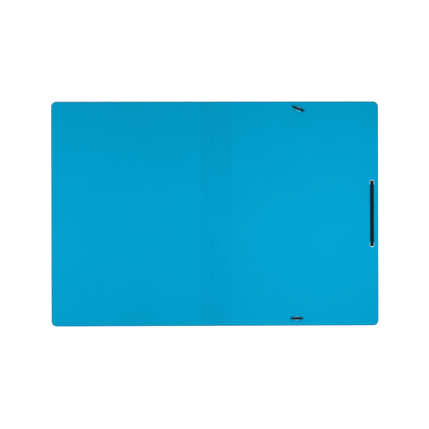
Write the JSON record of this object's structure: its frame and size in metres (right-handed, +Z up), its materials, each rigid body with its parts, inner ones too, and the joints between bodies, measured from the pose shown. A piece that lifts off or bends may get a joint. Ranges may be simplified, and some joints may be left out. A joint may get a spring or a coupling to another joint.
{
  "type": "elastic band folder",
  "caption": "Folio folder of creased plastic sheet with a flexible spine, shown open, with a flat elastic band through eyelets that closes both corners of its cover.",
  "frame": {"origin": "middle of the open folder's outline, on the surface that it lies on", "axes": "+X across the open covers from the front cover to the back cover, +Y along the spine towards the upper edge, +Z up out of the inner faces"},
  "size_m": [0.4954, 0.34, 0.0049],
  "materials": {
    "sheet": "matte cyan-blue polypropylene with a fine embossed grain",
    "eyelet": "nickel-plated rolled steel",
    "elastic": "black woven flat elastic",
    "bar": "black moulded nylon"
  },
  "bodies": {
    "back_cover": {"back_cover": "sheet", "eyelet_upper_end": "eyelet", "eyelet_upper_fore": "eyelet", "eyelet_lower_fore": "eyelet", "eyelet_lower_end": "eyelet", "band_inner_run": "elastic", "band_upper_end_leg": "elastic", "band_upper_fore_leg": "elastic", "band_lower_end_leg": "elastic", "band_lower_fore_leg": "elastic"},
    "spine_strip_10": {"spine_strip_10": "sheet"},
    "spine_strip_9": {"spine_strip_9": "sheet"},
    "spine_strip_8": {"spine_strip_8": "sheet"},
    "spine_strip_7": {"spine_strip_7": "sheet"},
    "spine_strip_6": {"spine_strip_6": "sheet"},
    "spine_strip_5": {"spine_strip_5": "sheet"},
    "spine_strip_4": {"spine_strip_4": "sheet"},
    "spine_strip_3": {"spine_strip_3": "sheet"},
    "spine_strip_2": {"spine_strip_2": "sheet"},
    "spine_strip_1": {"spine_strip_1": "sheet"},
    "front_cover": {"front_cover": "sheet"},
    "end_bar_upper": {"end_bar_upper": "bar"},
    "end_bar_lower": {"end_bar_lower": "bar"},
    "upper_corner_elastic": {"band_upper_corner_middle": "elastic"},
    "lower_corner_elastic": {"band_lower_corner_middle": "elastic"}
  },
  "joints": [
    {"name": "crease_11", "type": "hinge", "parent": "back_cover", "child": "spine_strip_10", "pos_m": [0.02315, 0, 0.0018], "axis": [0, 1, 0], "range_deg": [0, 16.36]},
    {"name": "crease_10", "type": "hinge", "parent": "spine_strip_10", "child": "spine_strip_9", "pos_m": [0.0188, 0, 0.0018], "axis": [0, 1, 0], "range_deg": [0, 16.36]},
    {"name": "crease_9", "type": "hinge", "parent": "spine_strip_9", "child": "spine_strip_8", "pos_m": [0.01445, 0, 0.0018], "axis": [0, 1, 0], "range_deg": [0, 16.36]},
    {"name": "crease_8", "type": "hinge", "parent": "spine_strip_8", "child": "spine_strip_7", "pos_m": [0.0101, 0, 0.0018], "axis": [0, 1, 0], "range_deg": [0, 16.36]},
    {"name": "crease_7", "type": "hinge", "parent": "spine_strip_7", "child": "spine_strip_6", "pos_m": [0.00575, 0, 0.0018], "axis": [0, 1, 0], "range_deg": [0, 16.36]},
    {"name": "crease_6", "type": "hinge", "parent": "spine_strip_6", "child": "spine_strip_5", "pos_m": [0.0014, 0, 0.0018], "axis": [0, 1, 0], "range_deg": [0, 16.36]},
    {"name": "crease_5", "type": "hinge", "parent": "spine_strip_5", "child": "spine_strip_4", "pos_m": [-0.00295, 0, 0.0018], "axis": [0, 1, 0], "range_deg": [0, 16.36]},
    {"name": "crease_4", "type": "hinge", "parent": "spine_strip_4", "child": "spine_strip_3", "pos_m": [-0.0073, 0, 0.0018], "axis": [0, 1, 0], "range_deg": [0, 16.36]},
    {"name": "crease_3", "type": "hinge", "parent": "spine_strip_3", "child": "spine_strip_2", "pos_m": [-0.01165, 0, 0.0018], "axis": [0, 1, 0], "range_deg": [0, 16.36]},
    {"name": "crease_2", "type": "hinge", "parent": "spine_strip_2", "child": "spine_strip_1", "pos_m": [-0.016, 0, 0.0018], "axis": [0, 1, 0], "range_deg": [0, 16.36]},
    {"name": "crease_1", "type": "hinge", "parent": "spine_strip_1", "child": "front_cover", "pos_m": [-0.02035, 0, 0.0018], "axis": [0, 1, 0], "range_deg": [0, 16.36]},
    {"name": "upper_bar_swivel", "type": "hinge", "parent": "back_cover", "child": "end_bar_upper", "pos_m": [0.12645, 0.1588, 0.0027], "axis": [0, 0, 1], "range_deg": [-68, 112]},
    {"name": "lower_bar_swivel", "type": "hinge", "parent": "back_cover", "child": "end_bar_lower", "pos_m": [0.12355, -0.1588, 0.0027], "axis": [0, 0, 1], "range_deg": [-90, 90]},
    {"name": "upper_corner_pull", "type": "slide", "parent": "back_cover", "child": "upper_corner_elastic", "axis": [0.7074, 0.7068, 0], "range_m": [0, 0.1], "stiffness_N_per_m": 60, "deforming": ["band_upper_end_leg", "band_upper_fore_leg"]},
    {"name": "lower_corner_pull", "type": "slide", "parent": "back_cover", "child": "lower_corner_elastic", "axis": [0.6983, -0.7158, 0], "range_m": [0, 0.1], "stiffness_N_per_m": 60, "deforming": ["band_lower_end_leg", "band_lower_fore_leg"]}
  ]
}
